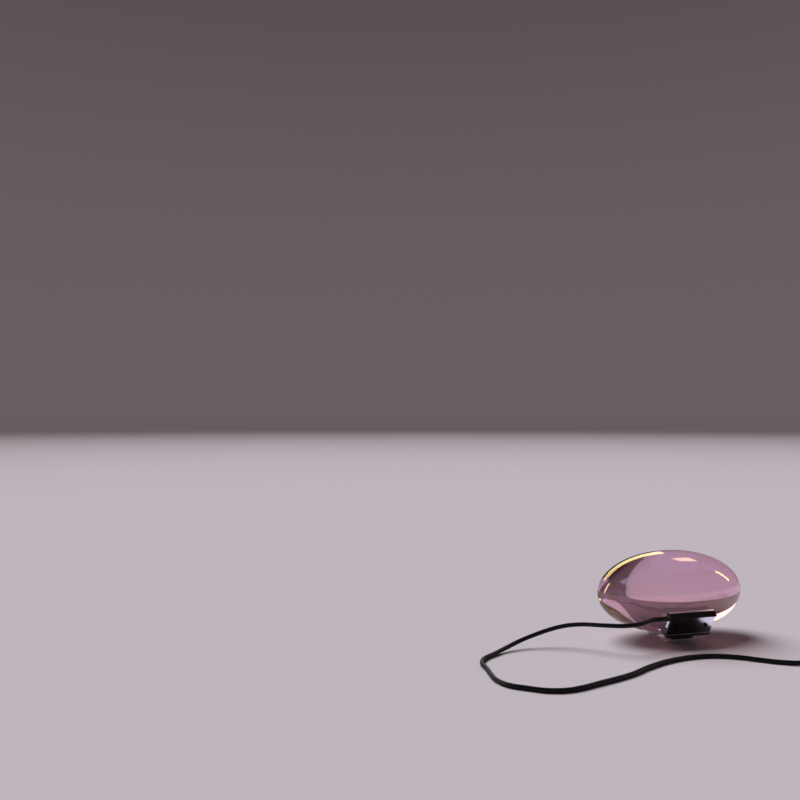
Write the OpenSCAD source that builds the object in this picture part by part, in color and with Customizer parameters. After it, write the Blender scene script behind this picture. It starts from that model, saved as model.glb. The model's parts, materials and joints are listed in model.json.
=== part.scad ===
// Table lamp: a solid glass ellipsoid lit from its lower front by a leaning light bar,
// on a clear foot, with a thin black lead, an in-line rocker switch and a plug.
// Millimetres, +Z up, +X along the glass, the light bar on the -Y side.

/* [Glass] */
// Length of the glass along its long axis
glass_len = 116; // [100:1:140]
// Diameter of the glass across its middle
glass_dia = 60; // [54:1:66]
// Bands along the glass
glass_bands = 40; // [16:2:48]
// Gap between the glass and the foot plate under it
glass_gap = 0.4; // [0.3:0.1:1]

/* [Foot] */
// Thickness of the grip sheet under the foot
pad_t = 0.6; // [0.4:0.1:1.2]
// Thickness of the clear foot plate
plate_t = 2; // [1.6:0.1:3]
// Width of the foot plate along the glass
plate_w = 32; // [28:1:44]
// Reach of the foot plate from the glass axis to its front edge
plate_front = 21; // [20.5:0.1:23]
// Radius of the front corners of the foot plate
plate_corner_r = 3; // [1:0.5:6]
// Inset of the grip sheet from the edge of the plate
pad_inset = 1.2; // [0.8:0.1:2]
// Distance of each cradle strip from the middle of the glass
cradle_y = 9.2; // [8.5:0.1:10]
// Width of each cradle strip
cradle_w = 3.6; // [2.4:0.1:4]
// Length of each cradle strip
cradle_len = 18; // [12:1:26]
// Gap between the resting glass and the cradle strips
cradle_gap = 0.1; // [0.05:0.05:0.2]

/* [Light bar] */
// Length of the web, ledge and wedge of the light bar
bar_len = 36; // [35.5:0.5:40]
// Height of the light bar along its slope
bar_h = 19.2; // [19:0.1:21]
// Lean of the light bar from upright, top towards the viewer
bar_lean = 28.5; // [27:0.5:30]
// Offset of the light bar along the glass
bar_x = -3.5; // [-6:0.5:0]
// Distance of the bar's front plane in front of the glass
bar_stand_off = 6.9; // [6.8:0.1:7.6]
// Distance from the bar's lower edge up to the nearest point of the glass
bar_drop = 11; // [10.6:0.1:11.4]
// Height of the top cap
cap_h = 2.8; // [2.5:0.1:3]
// Depth of the top cap from the bar's front plane
cap_d = 5.8; // [5.4:0.1:6]
// Overhang of the top cap past each end of the web
cap_over = 1.3; // [0.8:0.1:1.6]
// Depth of the slope along the front of the top cap
cap_slope = 3.5; // [2.5:0.1:4]
// Depth of the recess in front of the web
recess_d = 0.8; // [0.6:0.1:1]
// Thickness of the web
web_t = 1.4; // [1.2:0.1:1.6]
// Height of the lower ledge at the front
ledge_h = 2.2; // [1.8:0.1:2.6]
// Depth of the lower wedge
wedge_d = 7.4; // [7:0.1:7.6]
// Height of the lower wedge where it meets the web
wedge_h = 6.6; // [6.2:0.1:6.8]
// Edge bevel on the cap and ledge
bevel = 0.3; // [0.2:0.1:0.5]
// Width of the foot boss under the bar
boss_w = 16; // [14:1:20]
// Depth of the foot boss where it stands on the plate
boss_d = 5.5; // [5:0.1:6]

/* [Light unit] */
// Thickness of the circuit board
board_t = 0.8; // [0.6:0.1:1]
// Width of the circuit board along the bar
board_w = 33; // [32:0.5:34]
// Height of the circuit board
board_h = 4; // [3.8:0.1:4.2]
// Pitch of the light chips
chip_pitch = 5.5; // [5:0.1:5.6]
// Width of a light chip
chip_w = 3.5; // [2.8:0.1:3.6]
// Height of a light chip
chip_h = 2.8; // [2.2:0.1:3]
// Thickness of a light chip
chip_t = 0.65; // [0.5:0.05:0.7]
// Width of the window frame along the bar
frame_w = 35; // [34.5:0.5:36]
// Height of the window frame
frame_h = 5.6; // [5.4:0.1:5.6]
// Depth of the window frame
frame_d = 2.25; // [2.2:0.05:2.3]
// Thickness of the colour window
window_t = 0.6; // [0.5:0.1:0.6]
// Distance of each frame screw from the middle of the bar
screw_x = 12; // [11.8:0.1:12.4]
// Diameter of the frame screws
screw_d = 1.6; // [1.4:0.1:1.6]
// Diameter of the frame screw heads
screw_head_d = 2.6; // [2.4:0.1:3]

/* [Fits] */
// Clearance between seated pieces
seat_clear = 0.05; // [0.02:0.01:0.1]
// Radial clearance of screws in through holes
hole_clear = 0.1; // [0.05:0.05:0.2]
// Radial bite of screws in pilot holes
thread_bite = 0.05; // [0.02:0.01:0.1]
// Radial running clearance of the rocker axle
axle_clear = 0.06; // [0.03:0.01:0.1]

/* [Lead] */
// Diameter of the lead
cord_d = 3; // [2.6:0.1:3.2]
// Length of the tapered nose of the gland outside the bar
gland_nose = 4; // [3:0.5:6]
// Radius of the innermost loops of the coil
coil_in_r = 12; // [11:0.5:14]
// Gap between neighbouring loops of one layer
loop_gap = 0.6; // [0.6:0.1:1.4]
// Gap between the layers of the coil
layer_gap = 0.8; // [0.8:0.1:1.4]
// Loops in each layer of the coil
coil_turns = 3; // [2:1:3]
// Thickness of the tie round the coil
tie_t = 0.7; // [0.5:0.1:1]
// Width of the tie
tie_w = 6; // [4:0.5:9]

/* [Switch] */
// Length of the switch body
switch_len = 46; // [44:1:52]
// Width of the switch body
switch_w = 15; // [15:0.5:18]
// Height of the switch body
switch_h = 10; // [10:0.5:11]
// Wall of the switch shells
switch_wall = 1.5; // [1.3:0.1:1.6]
// Corner radius of the switch body
switch_r = 4; // [3:0.5:6]
// Radius along the long edges of the switch body
switch_edge_r = 1.6; // [0.8:0.1:2]
// Half length of the rocker
rocker_half = 6.5; // [5.5:0.1:6.8]
// Width of the rocker
rocker_w = 7; // [6.5:0.1:7]
// Tilt of the rocker either side of level
rocker_tilt = 8; // [6:1:9]
// Diameter of the rocker axle
axle_d = 1.8; // [1.6:0.1:2]

/* [Plug] */
// Width of the plug grip
grip_w = 16; // [15:0.5:18]
// Thickness of the plug grip
grip_h = 8.4; // [8:0.1:9]
// Length of the plug grip
grip_len = 20; // [18:1:24]
// Width of the plug's metal shell
shell_w = 12; // [11.9:0.1:12.1]
// Height of the plug's metal shell
shell_h = 4.5; // [4.4:0.1:4.6]
// Length of the plug's metal shell
shell_len = 12; // [11.7:0.1:12.2]
// Wall of the metal shell
shell_wall = 0.3; // [0.25:0.05:0.4]
// Corner radius of the metal shell
shell_r = 0.7; // [0.5:0.1:0.8]

/* [Hidden] */

// Round pieces and very small round pieces
round_fn = 48;
small_fn = 24;
glass_fn = 72;
eps = 0.01;

// Glass and foot heights
glass_r = glass_dia / 2;
glass_a = glass_len / 2;
plate_top = pad_t + plate_t;
glass_z = plate_top + glass_gap + glass_r;

// Total of a list
function sum(v) = v * [for (x = v) 1];

// Place of the light bar: its front plane lies bar_stand_off before the glass
bar_y = -(glass_r + bar_stand_off) * cos(bar_lean) + bar_drop * sin(bar_lean);
bar_z = glass_z - (glass_r + bar_stand_off) * sin(bar_lean) - bar_drop * cos(bar_lean);
web_back = recess_d + web_t;
cap_low = bar_h - cap_h;
cap_lip = 0.4;
cap_front = recess_d - cap_lip;
cap_edge = 0.3;
cap_half = bar_len / 2 + cap_over;
cap_end_slope = 1;
wedge_low = 1.3;
wedge_top = 4.6;
wedge_taper = 1.2;

// A point of the bar's section in the table's Y and Z
function bar_yz(t, s) = [
  bar_y + t * cos(bar_lean) - s * sin(bar_lean),
  bar_z + t * sin(bar_lean) + s * cos(bar_lean)
];

// A point of the bar in the table's X, Y and Z
function bar_xyz(x, t, s) = [bar_x + x, bar_yz(t, s)[0], bar_yz(t, s)[1]];

// Foot boss and its screws
boss_inset = 0.5;
boss_front = boss_inset - plate_front;
boss_back = boss_front + boss_d;
boss_root_front = [2.5, 0.8];
boss_root_in = 0.5;
boss_root_up = 0.7;
boss_root_back = [wedge_d - boss_root_in, wedge_low + boss_root_up];
foot_screw_x = 5;
foot_screw_in = 2.1;
foot_screw_y = boss_front + foot_screw_in;
foot_screw_d = 2;
foot_head_d = 3.8;
foot_head_h = 0.9;
foot_screw_bite = 2;
foot_head_sink = 0.1;
pilot_spare = 0.2;
pad_hole_clear = 0.5;

// Light unit, in the bar's own length x, depth t and height s
board_back = web_back + seat_clear;
board_front = board_back + board_t;
frame_rise = 0.2;
frame_low = wedge_h + frame_rise;
frame_mid = frame_low + frame_h / 2;
frame_back = board_back + frame_d;
pocket_clear = 0.1;
pocket_top = board_front + pocket_clear / 2;
aperture_w = 19.2;
aperture_h = 3.4;
window_w = 20;
window_h = 4.2;
window_low = frame_back - window_t - seat_clear;
screw_drop = 0.1;
screw_s = frame_mid - screw_drop;
screw_head_t = 0.8;
screw_key_d = 1.2;
screw_key_t = 0.45;
screw_skin = 0.3;
screw_tip = frame_back - screw_skin;
screw_end_gap = 0.1;
resistor_x = 8.6;
resistor_s = 0.9;
resistor_w = 1.2;
resistor_h = 1.1;
resistor_t = 0.45;

// Lead gland in the corner under the top cap
gland_r = 1.8;
gland_bore_r = 1.1;
gland_in = -14;
gland_out = -cap_half - gland_nose;
gland_t = web_back + gland_r + seat_clear;
gland_s = cap_low - gland_r - seat_clear;
wire_d = 0.7;
wire_t = board_front + wire_d / 2 + seat_clear;
wire_gap = 1;
wire_a_x = -9.4;
wire_b_x = -7.8;
wire_in = 1.6;
wire_bend = 1.6;
wire_bend_step = 30;
wire_stop = 0.6;
notch_w = 3.4;
notch_x = (wire_a_x + wire_b_x) / 2;

// Switch and coil places on the table
cord_r = cord_d / 2;
switch_x = 88;
switch_y = -96;
switch_split = switch_h / 2;
split_gap = 0.05;
boot_len = 7;
boot_neck_r = 2.3;
boot_flange_r = 3;
boot_flange_t = 1.2;
boot_tip_r = 1.9;
boot_base_r = 2.6;
boot_groove = 0.35;
boot_rings = 4;
switch_in = switch_x - switch_len / 2 - boot_len;
switch_out = switch_x + switch_len / 2 + boot_len;
floor_t = 1.3;
roof_t = 1.3;
axle_depth = 3;
rocker_z = switch_h - axle_depth;
rocker_gap = 0.35;
rocker_end_gap = 0.8;
window_half_x = rocker_half + rocker_end_gap;
window_half_y = rocker_w / 2 + rocker_gap;
cheek_t = 1.2;
cheek_half = 2.4;
post_x = 17;
post_y = 3.7;
post_r = 2.1;
post_screw_d = 1.8;
post_head_d = 3.4;
post_head_h = 1;
post_head_t = 1.4;
post_screw_len = 3.6;
post_pilot_spare = 0.3;

coil_x = 145;
coil_layers = 4;
coil_soft = 45;
coil_pitch = cord_d + loop_gap;
coil_rise = cord_d + layer_gap;
tie_slack = 0.3;
coil_z = cord_r + tie_t + tie_slack;
coil_span = coil_turns * 360;
coil_end = coil_layers * coil_span;
coil_step = 15;
coil_sides = 6;
cord_sides = 8;

// A smooth step from 0 to 1
function ease(u) = u * u * (3 - 2 * u);

// Turn angle rounded off where the spiral reverses
function eased(w) = sqrt(w * w + coil_soft * coil_soft) - coil_soft;

// Turn angle to the nearest inner reversal
function from_inner(q) = abs(q % (2 * coil_span) - coil_span);

// Turn angle of spiral between the innermost loop and the loop at q
function reach(q) = let (w = from_inner(q), half = coil_span / 2)
  w < half || q < half || q > coil_end - half ? eased(w) : 2 * eased(half) - eased(coil_span - w);

function coil_r(q) = coil_in_r + coil_pitch * reach(q) / 360;

coil_out_r = coil_r(0);
coil_y = switch_y + coil_out_r;

// Climb by one layer within the half turn about a reversal
function climb(q) = ease(min(1, max(0, q / 180 + 0.5)));

function coil_height(q) = coil_z + coil_rise * sum([for (k = [1:coil_layers - 1]) climb(q - k * coil_span)]);

function coil_point(q) = [
  coil_x + coil_r(q) * cos(q - 90),
  coil_y + coil_r(q) * sin(q - 90),
  coil_height(q)
];

// Plug places
plug_z = grip_h / 2;
plug_y = switch_y;
tail_run = 40;
tail_step = 0.15;
plug_in = coil_x + tail_run;
relief_len = 10;
relief_tip_r = 2.1;
relief_base_r = 3.2;
relief_groove = 0.4;
relief_rings = 5;
grip_x = plug_in + relief_len;
shell_x = grip_x + grip_len;
grip_r = 2.6;
grip_step_len = 2.4;
grip_step_in = 0.8;
grip_ribs = 4;
grip_rib_pitch = 2.4;
grip_rib_r = 0.5;
tongue_side = 0.3;
tongue_w = shell_w - 2 * shell_wall - 2 * tongue_side;
tongue_t = 1.9;
tongue_short = 0.6;
tongue_len = shell_len - tongue_short;
tongue_root = 4;
contact_w = 1;
contact_t = 0.25;
contact_pitch = 2.3;
contact_start = 0.2;
contact_outer = 7;
contact_inner = 6;
shell_hole = 2.2;
shell_hole_x = 5.2;
shell_hole_y = 2.6;

// Route of the lead on the table, from the gland to the switch
gland_end = bar_xyz(gland_out, gland_t, gland_s);
lead_run = 8;
lead_turn = 0.5;
cord_route = concat(
  [gland_end, gland_end + [-cord_d, 0, 0], gland_end + [-lead_run, -lead_turn, 0]],
  [
    [-48, -37, 20], [-59, -36, 19.2], [-70, -27, 18.2], [-80, -15, 16.8], [-90, -7, 14.6],
    [-103, -3, 11], [-121, -3, 6], [-137, -9, 2.6], [-149, -17, 1.6], [-158, -24, 1.6],
    [-163.5, -34, 1.6], [-165, -46, 1.6], [-167, -58, 1.6], [-168, -69, 1.6], [-165, -80, 1.6],
    [-157, -88, 1.6], [-148, -95, 1.6], [-137, -98.5, 1.6], [-125, -97, 1.6], [-110, -92, 1.6],
    [-96, -87.5, 1.6], [-80, -81, 1.6], [-63, -71.5, 1.6], [-44, -63.5, 1.6], [-23, -59.5, 1.6],
    [-6, -61.5, 1.6], [7, -68.5, 1.6], [17, -78, 1.6], [26.5, -86, 1.6], [37, -91.5, 1.8],
    [46, -95, 3.4]
  ],
  [[switch_in - cord_d, switch_y, switch_split], [switch_in, switch_y, switch_split]]
);

// Route of the second length: out of the switch, round the coil, down to the plug
out_near = 8;
out_near_drop = 0.8;
out_far = 15;
out_far_rise = 0.5;
out_level = 21;
coil_route = concat(
  [
    [switch_out, switch_y, switch_split],
    [switch_out + cord_d, switch_y, switch_split],
    [switch_out + out_near, switch_y, switch_split - out_near_drop],
    [switch_out + out_far, switch_y, coil_z + out_far_rise],
    [switch_out + out_level, switch_y, coil_z]
  ],
  [for (q = [0:coil_step:coil_end]) coil_point(q)],
  [for (u = [tail_step:tail_step:1 - tail_step])
    [coil_x + u * (tail_run - cord_d), plug_y, coil_height(coil_end) * (1 - ease(u)) + plug_z * ease(u)]],
  [[plug_in - cord_d, plug_y, plug_z], [plug_in, plug_y, plug_z]]
);

// A smooth point between b and c
function smooth(a, b, c, d, u) = 0.5 * (2 * b + (c - a) * u + (2 * a - 5 * b + 4 * c - d) * u * u
  + (3 * b - a - 3 * c + d) * u * u * u);

// The route with one point added inside each stretch but the straight ends
function refine(p) = let (n = len(p)) concat(
  [for (i = [0:n - 2]) each i == 0 || i == n - 2 ? [p[i]]
    : [p[i], smooth(p[i - 1], p[i], p[i + 1], p[i + 2], 0.5)]],
  [p[n - 1]]
);

function unit(v) = v / norm(v);

function heading(p, i) = let (n = len(p)) unit(
  i == 0 ? p[1] - p[0] : i == n - 1 ? p[n - 1] - p[n - 2]
  : unit(p[i + 1] - p[i]) + unit(p[i] - p[i - 1])
);

// Corners of a tube round a route, one ring for each point
function tube_points(p, r, sides, up) = [
  for (i = [0:len(p) - 1])
    let (h = heading(p, i), side = unit(cross(h, up)), top = cross(side, h))
      for (j = [0:sides - 1]) p[i] + r * (cos(360 * j / sides) * side + sin(360 * j / sides) * top)
];

// Triangles of a tube: two for each side of each stretch, and a fan at each end
function tube_faces(rings, sides) = let (last = (rings - 1) * sides) concat(
  [for (j = [1:sides - 2]) [0, j + 1, j]],
  [for (i = [0:rings - 2]) for (j = [0:sides - 1])
    let (k = (j + 1) % sides, a = i * sides, b = a + sides)
      each [[a + j, a + k, b + k], [a + j, b + k, b + j]]],
  [for (j = [1:sides - 2]) [last, last + j, last + j + 1]]
);

function route_length(p) = sum([for (i = [1:len(p) - 1]) norm(p[i] - p[i - 1])]);

lead_line = refine(cord_route);
coil_apart = 14;
coil_least = min([
  for (i = [0:len(coil_route) - 1 - coil_apart])
    min([for (j = [i + coil_apart:len(coil_route) - 1]) norm(coil_route[i] - coil_route[j])])
]) - cord_d;
echo(coil_least_gap = coil_least, lead_rings = len(lead_line), coil_rings = len(coil_route));
echo(lead_length = route_length(lead_line), coil_length = route_length(coil_route));

module tube(p, r, sides, up = [0, 0, 1]) {
  polyhedron(tube_points(p, r, sides, up), tube_faces(len(p), sides), convexity = 10);
}

// Puts a piece given in the bar's own x, t and s onto the table
module on_bar() {
  translate([bar_x, bar_y, bar_z])
    rotate([bar_lean, 0, 0])
      children();
}

// Extrudes a drawing in Y and Z along X, centred
module along_x(length) {
  translate([-length / 2, 0, 0])
    rotate([90, 0, 90])
      linear_extrude(length)
        children();
}

// A block in the bar's own axes: centred in x, from t0 to t1 and s0 to s1
module bar_block(width, t0, t1, s0, s1) {
  translate([-width / 2, t0, s0])
    cube([width, t1 - t0, s1 - s0]);
}

// A pin along the bar's depth
module bar_pin(x, s, t0, t1, d) {
  translate([x, t0, s])
    rotate([-90, 0, 0])
      cylinder(h = t1 - t0, d = d, $fn = small_fn);
}

// Outline of a ribbed strain relief in radius and length, from its base to its tip
function ribbed(length, base_r, tip_r, rings, groove) = let (step = length / rings) [
  for (i = [0:rings - 1]) let (r = base_r + (tip_r - base_r) * i / (rings - 1)) each i == rings - 1
    ? [[r, i * step], [r, length]]
    : [[r, i * step], [r, (i + 0.55) * step], [r - groove, (i + 0.6) * step], [r - groove, (i + 0.95) * step]]
];

module round_rect(w, h, r) {
  translate([-w / 2 + r, -h / 2])
    square([w - 2 * r, h]);
  translate([-w / 2, -h / 2 + r])
    square([w, h - 2 * r]);
  for (x = [-1, 1])
    for (y = [-1, 1])
      translate([x * (w / 2 - r), y * (h / 2 - r)])
        circle(r, $fn = small_fn);
}

module glass_egg() {
  color("LightCyan", 0.5)
    translate([0, 0, glass_z])
      rotate([0, 90, 0])
        rotate_extrude($fn = glass_fn)
          polygon([for (i = [0:glass_bands]) let (a = 180 * i / glass_bands)
            [i == 0 || i == glass_bands ? 0 : glass_r * sin(a), -glass_a * cos(a)]]);
}

module plate_outline(inset) {
  half = plate_w / 2 - inset;
  front = plate_front - inset;
  r = plate_corner_r;
  circle(half, $fn = round_fn);
  translate([-half, -front + r])
    square([2 * half, front - r]);
  translate([-half + r, -front])
    square([2 * (half - r), 2 * r]);
  for (x = [-1, 1])
    translate([x * (half - r), -front + r])
      circle(r, $fn = small_fn);
}

module at_foot_screws() {
  for (x = [-1, 1])
    translate([bar_x + x * foot_screw_x, foot_screw_y, 0])
      children();
}

module foot_plate() {
  color("AliceBlue", 0.6)
    difference() {
      translate([0, 0, pad_t])
        linear_extrude(plate_t)
          plate_outline(0);
      at_foot_screws() {
        translate([0, 0, pad_t - eps])
          cylinder(h = plate_t + 2 * eps, d = foot_screw_d + 2 * hole_clear, $fn = small_fn);
        translate([0, 0, pad_t - eps])
          cylinder(h = foot_head_sink + 2 * eps, d = foot_head_d + 2 * seat_clear, $fn = small_fn);
        translate([0, 0, pad_t + foot_head_sink])
          cylinder(h = foot_head_h, d1 = foot_head_d + 2 * seat_clear,
            d2 = foot_screw_d + 2 * seat_clear, $fn = small_fn);
      }
    }
}

module grip_sheet() {
  hole_d = foot_head_d + 2 * pad_hole_clear;
  color("Gainsboro")
    difference() {
      linear_extrude(pad_t)
        plate_outline(pad_inset);
      at_foot_screws()
        translate([0, 0, -eps])
          cylinder(h = pad_t + 2 * eps, d = hole_d, $fn = small_fn);
    }
}

module cradle_strips() {
  slope = cradle_y / sqrt(glass_r * glass_r - cradle_y * cradle_y);
  touch_z = glass_z - sqrt(glass_r * glass_r - cradle_y * cradle_y);
  drop = cradle_gap * sqrt(1 + slope * slope);
  near = cradle_y - cradle_w / 2;
  far = cradle_y + cradle_w / 2;
  z_near = touch_z - drop - slope * cradle_w / 2;
  z_far = touch_z - drop + slope * cradle_w / 2;
  color("WhiteSmoke", 0.7)
    for (side = [0, 1])
      mirror([0, side, 0])
        along_x(cradle_len)
          polygon([[near, plate_top], [far, plate_top], [far, z_far], [near, z_near]]);
}

module foot_screws() {
  color("Silver")
    at_foot_screws()
      difference() {
        union() {
          translate([0, 0, pad_t + foot_head_sink])
            cylinder(h = foot_head_h, d1 = foot_head_d, d2 = foot_screw_d, $fn = small_fn);
          translate([0, 0, pad_t + foot_head_sink + eps])
            cylinder(h = plate_t - foot_head_sink + foot_screw_bite, d = foot_screw_d, $fn = small_fn);
        }
        translate([0, 0, pad_t])
          cylinder(h = foot_head_sink + screw_key_t, d = screw_key_d, $fn = 6);
      }
}

// Section of the web with the ledge in front of its foot and the wedge behind it
module bar_section() {
  polygon([
    [bevel, 0], [wedge_d, wedge_low], [wedge_d - wedge_taper, wedge_top], [web_back, wedge_h],
    [web_back, cap_low + cap_edge], [recess_d, cap_low + cap_edge], [recess_d, ledge_h],
    [bevel, ledge_h], [0, ledge_h - bevel], [0, bevel]
  ]);
}

module cap_section() {
  polygon([
    [cap_front, cap_low], [cap_d, cap_low], [cap_d, bar_h - bevel], [cap_d - bevel, bar_h],
    [cap_front + cap_slope, bar_h], [cap_front, cap_low + cap_edge]
  ]);
}

// The cap seen from the front: its ends slope in above a short upright edge
module cap_face() {
  top_half = cap_half - cap_end_slope;
  polygon([
    [-cap_half, cap_low], [cap_half, cap_low], [cap_half, cap_low + cap_edge], [top_half, bar_h],
    [-top_half, bar_h], [-cap_half, cap_low + cap_edge]
  ]);
}

module top_cap() {
  intersection() {
    along_x(2 * cap_half)
      cap_section();
    translate([0, cap_d + eps, 0])
      rotate([90, 0, 0])
        linear_extrude(cap_d + 2 * eps)
          cap_face();
  }
}

module light_bar() {
  color("DimGray")
    difference() {
      union() {
        on_bar() {
          along_x(bar_len)
            bar_section();
          top_cap();
        }
        translate([bar_x, 0, 0])
          along_x(boss_w)
            polygon([
              bar_yz(boss_root_front[0], boss_root_front[1]),
              bar_yz(boss_root_back[0], boss_root_back[1]),
              [boss_back, plate_top], [boss_front, plate_top]
            ]);
      }
      on_bar()
        for (x = [-screw_x, screw_x])
          bar_pin(x, screw_s, recess_d - eps, web_back + eps, screw_d + 2 * hole_clear);
      at_foot_screws()
        translate([0, 0, plate_top - eps])
          cylinder(h = foot_screw_bite + pilot_spare, d = foot_screw_d - 2 * thread_bite, $fn = small_fn);
    }
}

module led_board() {
  color("White")
    on_bar()
      difference() {
        bar_block(board_w, board_back, board_front, frame_mid - board_h / 2, frame_mid + board_h / 2);
        for (x = [-screw_x, screw_x])
          bar_pin(x, screw_s, board_back - eps, board_front + eps, screw_d + 2 * hole_clear);
      }
}

module led_chips() {
  color("Khaki")
    on_bar()
      for (i = [-1:1])
        translate([i * chip_pitch, 0, 0])
          bar_block(chip_w, board_front, board_front + chip_t,
            frame_mid - chip_h / 2, frame_mid + chip_h / 2);
}

module board_resistors() {
  color("Black")
    on_bar()
      for (s = [-1, 1])
        translate([resistor_x, 0, s * resistor_s])
          bar_block(resistor_w, board_front, board_front + resistor_t,
            frame_mid - resistor_h / 2, frame_mid + resistor_h / 2);
}

module window_frame() {
  half_pocket = board_h / 2 + pocket_clear;
  color("GhostWhite")
    on_bar()
      difference() {
        bar_block(frame_w, board_back, frame_back, frame_low, frame_low + frame_h);
        bar_block(board_w + 2 * pocket_clear, board_back - eps, pocket_top,
          frame_mid - half_pocket, frame_mid + half_pocket);
        bar_block(aperture_w, board_back, frame_back + eps,
          frame_mid - aperture_h / 2, frame_mid + aperture_h / 2);
        bar_block(window_w + 2 * seat_clear, window_low, frame_back + eps,
          frame_mid - window_h / 2 - seat_clear, frame_mid + window_h / 2 + seat_clear);
        translate([notch_x, 0, 0])
          bar_block(notch_w, board_back, window_low + eps, frame_mid, frame_low + frame_h + eps);
        for (x = [-screw_x, screw_x])
          bar_pin(x, screw_s, board_back, screw_tip + screw_end_gap, screw_d - 2 * thread_bite);
      }
}

module colour_window() {
  color("Plum", 0.7)
    on_bar()
      bar_block(window_w, window_low + seat_clear, frame_back,
        frame_mid - window_h / 2, frame_mid + window_h / 2);
}

module frame_screws() {
  color("Gray")
    on_bar()
      for (x = [-screw_x, screw_x])
        difference() {
          union() {
            bar_pin(x, screw_s, recess_d - screw_head_t, recess_d, screw_head_d);
            bar_pin(x, screw_s, recess_d - eps, screw_tip, screw_d);
          }
          translate([x, recess_d - screw_head_t - eps, screw_s])
            rotate([-90, 0, 0])
              cylinder(h = screw_key_t, d = screw_key_d, $fn = 6);
        }
}

module cord_gland() {
  length = gland_in - gland_out;
  color("Black")
    on_bar()
      translate([gland_out, gland_t, gland_s])
        rotate([0, 90, 0])
          rotate_extrude($fn = small_fn)
            polygon([
              [0, 0], [cord_r + seat_clear, 0], [gland_r, gland_nose], [gland_r, length],
              [gland_bore_r, length], [gland_bore_r, cord_d], [0, cord_d]
            ]);
}

// Two wires: out of the gland along the bar, then down to the board
module lead_wires() {
  color("FireBrick")
    on_bar()
      for (w = [[wire_a_x, -1], [wire_b_x, 1]])
        let (t = gland_t + w[1] * wire_gap / 2)
          tube(concat(
            [[gland_in - wire_in, t, gland_s]],
            [for (a = [0:wire_bend_step:90]) [
              w[0] - wire_bend * (1 - sin(a)),
              t + (wire_t - t) * (1 - cos(a)),
              gland_s - wire_bend * (1 - cos(a))
            ]],
            [[w[0], wire_t, frame_mid + wire_stop]]
          ), wire_d / 2, coil_sides, [0, 1, 0]);
}

module cord_lead() {
  color("Black")
    tube(lead_line, cord_r, cord_sides);
}

module cord_coil() {
  color("Black")
    tube(coil_route, cord_r, coil_sides);
}

// A band round all the loops on the side away from the switch
module coil_tie() {
  inner = coil_r(coil_span - 180) - cord_r - tie_slack;
  outer = coil_r(180) + cord_r + tie_slack;
  high = coil_height(coil_end) + cord_r + tie_slack;
  corner = cord_r + tie_slack;
  color("DimGray")
    translate([coil_x, coil_y + (inner + outer) / 2, (tie_t + high) / 2])
      along_x(tie_w)
        difference() {
          round_rect(outer - inner + 2 * tie_t, high + tie_t, corner + tie_t);
          round_rect(outer - inner, high - tie_t, corner);
        }
}

module at_switch() {
  translate([switch_x, switch_y, 0])
    children();
}

// The switch body between two heights, with round corners and round long edges
module switch_form(low, high) {
  intersection() {
    translate([0, 0, low])
      linear_extrude(high - low)
        round_rect(switch_len, switch_w, switch_r);
    translate([0, 0, switch_h / 2])
      along_x(switch_len + 2 * eps)
        round_rect(switch_w, switch_h, switch_edge_r);
  }
}

module boot_gaps(grow) {
  for (side = [0, 1])
    mirror([side, 0, 0])
      translate([switch_len / 2 - switch_wall - boot_flange_t - 2 * split_gap, 0, switch_split])
        rotate([0, 90, 0]) {
          cylinder(h = 2 * switch_wall + boot_flange_t, r = boot_neck_r + grow, $fn = small_fn);
          cylinder(h = boot_flange_t + 2 * split_gap, r = boot_flange_r + grow, $fn = small_fn);
        }
}

module at_posts() {
  for (side = [-1, 1])
    translate([side * post_x, side * post_y, 0])
      children();
}

module switch_lower() {
  color("Black")
    at_switch()
      difference() {
        union() {
          difference() {
            switch_form(0, switch_split - split_gap / 2);
            translate([0, 0, floor_t])
              linear_extrude(switch_h)
                round_rect(switch_len - 2 * switch_wall, switch_w - 2 * switch_wall, switch_r - switch_wall);
          }
          at_posts()
            translate([0, 0, floor_t - eps])
              cylinder(h = switch_split - split_gap / 2 - floor_t, r = post_r, $fn = small_fn);
        }
        boot_gaps(seat_clear);
        at_posts() {
          translate([0, 0, -eps])
            cylinder(h = switch_h, d = post_screw_d + 2 * hole_clear, $fn = small_fn);
          translate([0, 0, -eps])
            cylinder(h = post_head_t, d = post_head_d + 2 * hole_clear, $fn = small_fn);
        }
      }
}

module switch_upper() {
  low = switch_split + split_gap / 2;
  color("Black")
    at_switch()
      difference() {
        union() {
          difference() {
            switch_form(low, switch_h);
            translate([0, 0, low - eps])
              linear_extrude(switch_h - roof_t - low + eps)
                round_rect(switch_len - 2 * switch_wall, switch_w - 2 * switch_wall, switch_r - switch_wall);
          }
          at_posts()
            translate([0, 0, low])
              cylinder(h = switch_h - roof_t - low + eps, r = post_r, $fn = small_fn);
          for (side = [0, 1])
            mirror([0, side, 0])
              translate([-cheek_half, window_half_y, low])
                cube([2 * cheek_half, cheek_t, switch_h - roof_t - low + eps]);
        }
        translate([-window_half_x, -window_half_y, switch_h - roof_t - eps])
          cube([2 * window_half_x, 2 * window_half_y, roof_t + 2 * eps]);
        translate([0, 0, rocker_z])
          rotate([90, 0, 0])
            cylinder(h = 2 * (window_half_y + cheek_t) + eps, d = axle_d + 2 * axle_clear,
              center = true, $fn = small_fn);
        boot_gaps(seat_clear);
        at_posts()
          translate([0, 0, low - eps])
            cylinder(h = post_screw_len - post_head_t + post_pilot_spare,
              d = post_screw_d - 2 * thread_bite, $fn = small_fn);
      }
}

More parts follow.
